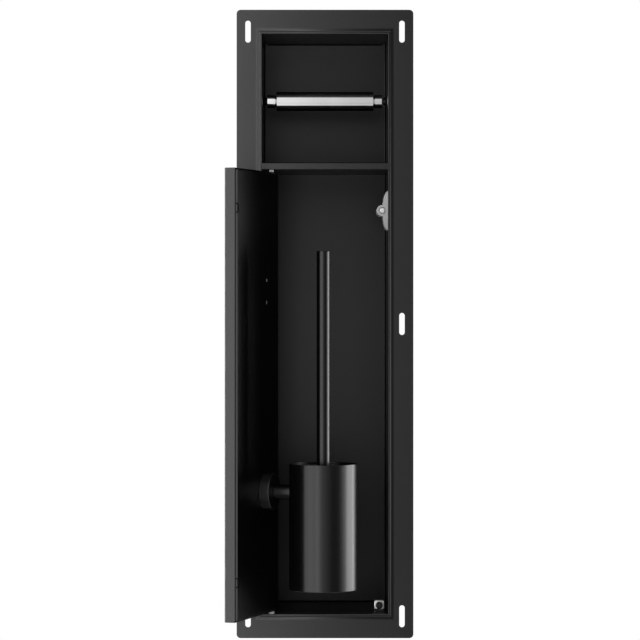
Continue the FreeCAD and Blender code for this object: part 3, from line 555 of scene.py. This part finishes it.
pieces("bracket_screw_slotted", "bracket_screw", lambda bm: driven(bm, along_z(63.4, 4.6), [(-375.0, 0), (-375.0, 1.5), (-367.8, 1.5), (-367.8, 2.5), (-367.65, 2.7), (-367.2, 2.62), (-366.85, 2.3), (-366.62, 1.75)], cross(0.3, 1.2), -0.8))

# pivots
for node, z0, z1 in (("pivot_pin_top", 186.0, 203.4), ("pivot_pin_bottom", -372.0, -359.0)):
    lathe(node + "_turned", node, [(z0, 0), (z0, 1.75, 0.4), (z1, 1.75, 0.4), (z1, 0)], along_z(-68.1, -0.8), segs=48)

# push latch: pin, soft tip and screws
LX, LZ = 73.1, 144.7
lathe("latch_plunger_turned", "latch_plunger", [(9.9, 0), (9.9, 3.1), (40, 3.1), (40, 4.25, 0.4), (43, 4.25, 0.4), (43, 2.2), (49, 2.2, 0.4), (49, 0)], along_y(LX, LZ), segs=64)
lathe("latch_tip_turned", "latch_tip", [(6.9, 0), (6.9, 3.1, 0.7), (9.9, 3.1), (9.9, 0)], along_y(LX, LZ), segs=64)


def latch_screws(bm):
    for dz in (16, -16):
        driven(bm, along_x(40.0, LZ + dz), [(85.45, 0), (85.45, 0.6), (84.65, 1.5), (77.75, 1.5), (76.25, 2.9), (75.95, 3.0), (75.65, 2.85)], cross(0.36, 1.7), 1.2)


pieces("latch_screws_slotted", "latch_screws", latch_screws)

# ------------------------------------------------------------------ roll spindle
SP = along_x(72.0, 288.0)
BH, NE, NR = 62.75, 74.9, 73.9
lathe("spindle_barrel_turned", "spindle_barrel", [(-BH, 11.5, 0.3), (-BH, 12.7, 0.75), (BH, 12.7, 0.75), (BH, 11.5, 0.3)], SP, segs=160, fil=6)
dark_pin(lathe("spindle_end_left_turned", "spindle_end_left", [(-80.6, 0), (-80.6, 2.5, 0.7), (-NE, 2.5, 0.3), (-NE, 8.6, 0.4), (-(BH + 2.0), 8.6, 0.15), (-(BH + 0.5), 7.1, 0.2), (-BH, 7.1), (-BH, 11.5), (-50, 11.5), (-50, 5), (-44, 5), (-44, 0)], SP, segs=160, fil=6))
lathe("spindle_guide_ring_turned", "spindle_guide_ring", [(57, 8.7), (57, 11.5), (BH, 11.5), (BH, 8.7, 0.5)], SP, segs=128)
dark_pin(lathe("spindle_end_right_turned", "spindle_end_right", [(45, 0), (45, 5), (52, 5), (52, 11.25), (55.5, 11.25), (55.5, 8.6), (BH + 0.1, 8.6), (BH + 0.1, 7.1), (BH + 0.5, 7.1, 0.2), (BH + 2.0, 8.6, 0.15), (NR, 8.6, 0.4), (NR, 2.5, 0.3), (80.6, 2.5, 0.7), (80.6, 0)], SP, segs=160, fil=6))

# ------------------------------------------------------------------ brush holder on the door (door frame: x along the door, y out of its inner face)
RX, RZ, CY = 45.0, -210.4, 84.2
for node, z0, z1, zb, rf in (("pivot_bush_top", 196.2, 193.0, 184.0, 3.1), ("pivot_bush_bottom", -368.95, -365.8, -356.8, 3.75)):
    lathe(node + "_moulded", node, [(z0, 1.8, 0.2), (z0, rf, 0.45), (z1, rf, 0.15), (z1, 2.75), (zb, 2.75), (zb, 1.8)], along_z(0, 0), DOOR, segs=64)
lathe("rosette_base_turned", "rosette_base", [(6.6, 2.5), (6.6, 19.0, 0.4), (9.6, 19.0, 0.5), (9.6, 6.5), (18.6, 6.5, 0.4), (18.6, 2.5)], along_y(RX, RZ), DOOR, segs=96)
# the rosette cover takes the paler, painted-light copy of the powder
lathe("rosette_cover_turned", "rosette_cover", [(6.8, 21.6), (6.8, 23.0, 0.25), (20.2, 23.0, 1.6), (20.2, 6.5, 0.2), (18.8, 6.5), (18.8, 21.6)], along_y(RX, RZ), DOOR, segs=160, mat=MAT["powder_rosette"], fil=8)
lathe("holder_post_turned", "holder_post", [(20.2, 2.5), (20.2, 9.4, 0.5), (42.7, 9.4), (42.7, 2.5)], along_y(RX, RZ), DOOR, segs=96, mat=MAT["powder_cup"])
lathe("post_stud_turned", "post_stud", [(7.6, 0), (7.6, 2.5, 0.3), (30.2, 2.5, 0.3), (30.2, 0)], along_y(RX, RZ), DOOR, segs=48)
pieces("cup_screw_socket", "cup_screw", lambda bm: driven(bm, along_y(RX, RZ), [(31.2, 0), (31.2, 2.5), (43.05, 2.5), (43.05, 4.5), (43.5, 4.45), (44.1, 4.15), (44.7, 3.55), (45.1, 2.7), (45.25, 2.0)], hexagon(1.45), -1.6, floor=1.0), DOOR)


def rosette_screws(bm):
    for dz in (14, -14):
        driven(bm, along_y(RX, RZ + dz), [(-2.4, 0), (-2.4, 1.6), (-2.0, 2.0), (9.6, 2.0), (9.6, 3.5), (9.75, 3.6), (10.4, 3.5), (11.0, 3.15), (11.5, 2.55), (11.8, 2.1)], cross(0.42, 1.7), -1.3)


pieces("rosette_screws_slotted", "rosette_screws", rosette_screws, DOOR)


def rosette_nuts(bm):
    for dz in (14, -14):
        lathe_into(bm, rounded([(5.4, 2.0), (5.4, 3.35, 0.1), (5.0, 4.0), (2.6, 4.0), (2.2, 3.35, 0.1), (2.2, 2.0)], 3), along_y(RX, RZ + dz), 6)


pieces("rosette_nuts_hex", "rosette_nuts", rosette_nuts, DOOR, sharp=20)

# round steel cup: rolled lip, drawn bottom edge; the plastic liner sits in it
lathe("brush_cup_drawn", "brush_cup", [(-331.7, 0), (-331.7, 42.65, 0.9), (-174.2, 42.65, 0.5), (-174.2, 41.45, 0.5), (-330.5, 41.45, 0.9), (-330.5, 0)], along_z(RX, CY), DOOR, segs=192, mat=MAT["powder_cup"], fil=8)
lathe("cup_liner_moulded", "cup_liner", [(-330.4, 0), (-330.4, 30.0, 0.4), (-329.6, 31.0, 0.4), (-330.4, 32.0, 0.4), (-330.4, 37.6, 1.4), (-179.0, 38.0), (-179.0, 41.1, 0.25), (-177.5, 41.1, 0.4), (-177.5, 36.5, 0.7), (-328.9, 36.1, 1.6), (-328.9, 0)], along_z(RX, CY), DOOR, segs=160, fil=6)

# ------------------------------------------------------------------ brush
lathe("brush_rod_drawn", "brush_rod", [(-262.0, 7.25), (-262.0, 8.25, 0.3), (90.1, 8.25), (90.1, 7.25)], along_z(RX, CY), DOOR, segs=128, mat=MAT["powder_cup"])
lathe("rod_cap_turned", "rod_cap", [(82.6, 0), (82.6, 7.25), (90.1, 7.25), (90.1, 8.25, 0.12), (91.6, 8.25, 0.7), (91.6, 0)], along_z(RX, CY), DOOR, segs=128, mat=MAT["powder_cup"], fil=6)
lathe("rod_adapter_turned", "rod_adapter", [(-276.0, 0), (-276.0, 3.5, 0.5), (-262.0, 3.5), (-262.0, 7.25, 0.3), (-242.0, 7.25, 0.5), (-242.0, 0)], along_z(RX, CY), DOOR, segs=64)
lathe("brush_core_moulded", "brush_core", [(-322.0, 0), (-322.0, 10.0, 2.0), (-262.0, 10.0, 1.0), (-262.0, 3.5), (-276.0, 3.5), (-276.0, 0)], along_z(RX, CY), DOOR, segs=64)


def bristles(bm):
    """Tufts set in spiral rows round the core, each a small bundle of thin tapering strands."""
    def reach(z):
        # outer radius of the trimmed head at height z
        if z < -318.9:
            h = (z + 327.9) / 9.0
            return 24.0 + 9.0 * math.sqrt(max(0.0, 1 - (1 - h) ** 2))
        if z > -254.0:
            h = (-250.0 - z) / 4.0
            return 29.0 + 4.0 * math.sqrt(max(0.0, 1 - (1 - h) ** 2))
        return 33.0

    def strand(p0, p1, w0, w1, side):
        mid = p0.lerp(p1, 0.55) + side
        d = (p1 - p0).normalized()
        a = d.orthogonal().normalized()
        b = d.cross(a)
        rows = []
        for p, w in ((p0, w0), (mid, (w0 + w1) / 2), (p1, w1)):
            rows.append([bm.verts.new(p + (a * math.cos(t) + b * math.sin(t)) * w) for t in (0.3, 2.394, 4.489)])
        for r, q2 in zip(rows, rows[1:]):
            for k in range(3):
                bm.faces.new((r[k], r[(k + 1) % 3], q2[(k + 1) % 3], q2[k]))
        bm.faces.new(rows[-1])

    rows, per = 17, 26
    for i in range(rows):
        z = -320.0 + i * (66.0 / (rows - 1))
        for j in range(per):
            ang = 2 * math.pi * (j + 0.5 * (i % 2)) / per + rnd.uniform(-0.03, 0.03)
            for k in range(12):
                aa = ang + rnd.uniform(-0.075, 0.075)
                z0 = z + rnd.uniform(-1.1, 1.1)
                tilt = rnd.uniform(-1.9, 1.9) + (i - (rows - 1) / 2) * 0.12
                z1 = min(-250.3, max(-327.6, z0 + tilt))
                r1 = reach(z1) - abs(rnd.gauss(0, 0.35)) - 0.15
                a1 = aa + rnd.uniform(-0.05, 0.05)
                p0 = Vector((RX + 9.6 * math.cos(aa), CY + 9.6 * math.sin(aa), z0))
                p1 = Vector((RX + r1 * math.cos(a1), CY + r1 * math.sin(a1), z1))
                strand(p0, p1, 0.34, 0.17, Vector((rnd.uniform(-0.4, 0.4), rnd.uniform(-0.4, 0.4), rnd.uniform(-0.4, 0.4))))
    # short tufts under the core's end
    for i in range(5):
        n = max(1, i * 7)
        for j in range(n):
            ang = 2 * math.pi * j / n
            for k in range(9):
                r0 = i * 2.1 + rnd.uniform(-0.7, 0.7)
                aa = ang + rnd.uniform(-0.12, 0.12)
                spread = 1.0 + 1.25 * (i / 4.0)
                p0 = Vector((RX + r0 * math.cos(aa), CY + r0 * math.sin(aa), -321.5))
                p1 = Vector((RX + r0 * spread * math.cos(aa), CY + r0 * spread * math.sin(aa), -327.7 + rnd.uniform(0, 0.5)))
                strand(p0, p1, 0.34, 0.18, Vector((0, 0, 0)))


bm = bmesh.new()
bristles(bm)
finish_piece("brush_bristles_tufts", from_bmesh(bm, DOOR), "brush_bristles")

# ------------------------------------------------------------------ studio: floor, world, lights
bm = bmesh.new()
bmesh.ops.create_circle(bm, cap_ends=True, radius=4.0, segments=128)
me = bpy.data.meshes.new("floor")
bm.to_mesh(me)
bm.free()
floor = bpy.data.objects.new("floor", me)
floor.location = (0, 0, -0.9)
scene.collection.objects.link(floor)
m = Mat("floor_pale")
m.colour(m.ramp(m.noise(1.2, 2.0), "Fac", [(0.3, (0.80, 0.80, 0.80)), (0.7, (0.82, 0.82, 0.82))])).set(rough=0.7)
me.materials.append(m.m)
# seen straight on, the floor keeps one even pale tone like the paper behind the object, and from below it lets the eye through
nt = m.m.node_tree
surface = nt.nodes.new("ShaderNodeOutputMaterial")
surface.is_active_output = True
lit = [n for n in nt.nodes if n.type == "BSDF_PRINCIPLED"][0]
paper = nt.nodes.new("ShaderNodeEmission")
paper.inputs["Color"].default_value = (0.94, 0.94, 0.94, 1)
through = nt.nodes.new("ShaderNodeBsdfTransparent")
ray = nt.nodes.new("ShaderNodeLightPath")
side = nt.nodes.new("ShaderNodeNewGeometry")
front_back = nt.nodes.new("ShaderNodeMixShader")
nt.links.new(side.outputs["Backfacing"], front_back.inputs["Fac"])
nt.links.new(paper.outputs["Emission"], front_back.inputs[1])
nt.links.new(through.outputs["BSDF"], front_back.inputs[2])
by_ray = nt.nodes.new("ShaderNodeMixShader")
nt.links.new(ray.outputs["Is Camera Ray"], by_ray.inputs["Fac"])
nt.links.new(lit.outputs["BSDF"], by_ray.inputs[1])
nt.links.new(front_back.outputs["Shader"], by_ray.inputs[2])
nt.links.new(by_ray.outputs["Shader"], surface.inputs["Surface"])

WORLD_FRONT, WORLD_BACK = 0.16, 0.0
world = bpy.data.worlds.new("studio")
scene.world = world
world.use_nodes = True
t = world.node_tree
t.nodes.clear()
out = t.nodes.new("ShaderNodeOutputWorld")
seen = t.nodes.new("ShaderNodeBackground")
seen.inputs["Color"].default_value = (1, 1, 1, 1)
seen.inputs["Strength"].default_value = 1.0
seen.name = "seen"
around = t.nodes.new("ShaderNodeBackground")
around.inputs["Color"].default_value = (1, 1, 1, 1)
tc = t.nodes.new("ShaderNodeTexCoord")
sep = t.nodes.new("ShaderNodeSeparateXYZ")
t.links.new(tc.outputs["Generated"], sep.inputs["Vector"])
front_v = t.nodes.new("ShaderNodeValue")
front_v.name = "world_front"
front_v.outputs[0].default_value = WORLD_FRONT
back_v = t.nodes.new("ShaderNodeValue")
back_v.name = "world_back"
back_v.outputs[0].default_value = WORLD_BACK
turn = t.nodes.new("ShaderNodeMapRange")
turn.interpolation_type = "SMOOTHSTEP"
turn.inputs["From Min"].default_value = -0.25
turn.inputs["From Max"].default_value = 0.25
t.links.new(sep.outputs["Y"], turn.inputs["Value"])
t.links.new(front_v.outputs[0], turn.inputs["To Min"])
t.links.new(back_v.outputs[0], turn.inputs["To Max"])
t.links.new(turn.outputs["Result"], around.inputs["Strength"])
path = t.nodes.new("ShaderNodeLightPath")
mix = t.nodes.new("ShaderNodeMixShader")
t.links.new(path.outputs["Is Camera Ray"], mix.inputs["Fac"])
t.links.new(around.outputs["Background"], mix.inputs[1])
t.links.new(seen.outputs["Background"], mix.inputs[2])
t.links.new(mix.outputs["Shader"], out.inputs["Surface"])

# upright soft strips. name: azimuth from straight in front (positive to the right), distance, height of its centre, width, height, radiance
LIGHTS = {
    "left_70": (-70, 1.15, 0.15, 0.18, 2.4, 42.9),
    "left_60": (-60, 1.15, 0.15, 0.18, 2.4, 1.49),
    "left_52": (-52, 1.15, 0.15, 0.18, 2.4, 1.35),
    "left_44": (-44, 1.15, 0.15, 0.18, 2.4, 1.73),
    "left_36": (-36, 1.15, 0.15, 0.18, 2.4, 0.49),
    "right_116": (116, 1.15, 0.15, 0.18, 2.4, 3.21),
    "right_60": (60, 1.15, -0.12, 0.2, 0.8, 0.57),
    "right_72": (72, 1.15, -0.12, 0.26, 0.8, 1.74),
    "right_84": (84, 1.15, -0.12, 0.2, 0.8, 5.49),
    "right_94": (94, 1.15, -0.12, 0.2, 0.8, 5.34),
    "right_104": (104, 1.15, -0.12, 0.2, 0.8, 4.49),
    "right_114": (114, 1.15, -0.12, 0.2, 0.8, 2.74),
    "right_126": (126, 1.15, -0.12, 0.28, 0.8, 1.16),
    "right_140": (140, 1.15, -0.12, 0.28, 0.8, 1.12),
}
# one wall of light in front of the flange, in upright bands that touch. name: x, width, radiance
WALL_STRIPS = {
    "n55": (-0.55, 0.12, 1.3), "n43": (-0.43, 0.12, 1.32), "n33": (-0.33, 0.09, 1.73), "n25": (-0.25, 0.075, 2.3),
    "n18": (-0.18, 0.067, 1.85), "n12": (-0.12, 0.06, 1.0), "n06": (-0.06, 0.06, 0.7), "n00": (0.0, 0.06, 0.56),
    "p06": (0.06, 0.06, 0.46), "p12": (0.12, 0.06, 0.38), "p18": (0.18, 0.07, 0.27), "p26": (0.26, 0.09, 0.17),
}
NOT_ON_DOOR = ("right_60", "right_72", "right_84", "right_94", "right_104", "right_114", "right_126", "right_140")


def soft_light(name, loc, rot, wide, high, radiance):
    d = bpy.data.lights.new(name, "AREA")
    d.shape = "RECTANGLE"
    d.size = wide
    d.size_y = high
    d.energy = radiance * math.pi * wide * high
    o = bpy.data.objects.new(name, d)
    o.location = loc
    o.rotation_euler = rot
    o.visible_camera = False
    scene.collection.objects.link(o)
    return o


def panel(name, az, dist, z, wide, high, radiance):
    a = math.radians(az)
    return soft_light(name, (dist * math.sin(a), -dist * math.cos(a), z), (math.radians(90), 0, a), wide, high, radiance)


# the short strips on the right are flagged off the door's faces; the hard one on the left and the ones behind only reach a few pieces
def flagged_off(name, names):
    c = bpy.data.collections.new(name)
    for o in list(scene.collection.objects):
        if o.name.startswith(names):
            c.objects.link(o)
    for m in c.collection_objects:
        m.light_linking.link_state = "EXCLUDE"
    return c


def only_on(name, names):
    c = bpy.data.collections.new(name)
    for o in list(scene.collection.objects):
        if o.name.startswith(names):
            c.objects.link(o)
    return c


off_door = flagged_off("flagged_off_the_door", ("door_inner_panel", "door_shell"))
hard_left = only_on("lit_by_the_hard_left", ("door_shell", "latch_", "catch_block"))
flat_front = only_on("lit_front", ("front_frame", "opening_rim", "divider_shelf"))
behind = only_on("lit_from_behind", ("housing_wrap", "top_cap", "bottom_cap", "front_frame", "spindle_seat", "door_shell", "latch_screws"))
collar = only_on("lit_collar", ("opening_rim",))
door_face = only_on("lit_door_face", ("door_inner_panel",))
panel("collar_left", -70, 1.15, 0.15, 0.18, 2.4, 3.9).light_linking.receiver_collection = collar
soft_light("collar_top", (0, -0.9, 1.7), (math.radians(40), 0, 0), 1.2, 0.6, 1.85).light_linking.receiver_collection = collar
panel("door_fill", 112, 1.12, 0.02, 0.3, 0.3, 4.0).light_linking.receiver_collection = door_face
soft_light("flange_fill", (-0.22, -0.8, 0.1), (math.radians(90), 0, 0), 0.14, 2.0, 1.9).light_linking.receiver_collection = flat_front
for name, spec in LIGHTS.items():
    o = panel(name, *spec)
    if name in NOT_ON_DOOR:
        o.light_linking.receiver_collection = off_door
    if name == "left_70":
        o.light_linking.receiver_collection = hard_left
off_shell = flagged_off("flagged_off_the_housing", ("housing_wrap",))
in_shell = only_on("lit_housing", ("housing_wrap",))
for name, (x, wide, radiance) in WALL_STRIPS.items():
    soft_light(name, (x, -0.75, 0.1), (math.radians(90), 0, 0), wide, 2.0, radiance).light_linking.receiver_collection = off_shell
# the same wall for the housing alone, coarser, with a darker belt level with the shelf. name: x, width, radiance
for name, x, wide, radiance in (("h49", -0.49, 0.24, 1.2), ("h29", -0.29, 0.16, 1.8), ("h18", -0.18, 0.06, 1.75), ("h09", -0.09, 0.12, 0.85), ("h03", 0.03, 0.12, 0.66), ("h20", 0.2, 0.22, 0.4)):
    for part, low, high, share in (("foot", -0.9, -0.3, 0.37), ("mid", -0.3, -0.08, 0.72), ("low", -0.08, 0.14, 1.2), ("belt", 0.14, 0.31, 0.15), ("up", 0.31, 1.1, 0.9)):
        soft_light(name + "_" + part, (x, -0.77, (low + high) / 2), (math.radians(90), 0, 0), wide, high - low, radiance * share).light_linking.receiver_collection = in_shell
soft_light("ceiling_fill", (0.02, -0.8, 0.1), (math.radians(90), 0, 0), 0.26, 2.0, 3.0).light_linking.receiver_collection = only_on("lit_ceiling", ("top_cap",))
for name, az, radiance in (("behind_left", -150, 3.0), ("beside_left", -112, 1.8), ("behind_right", 150, 2.4)):
    o = panel(name, az, 1.6, 0.3, 0.8, 1.6, radiance)
    o.light_linking.receiver_collection = behind
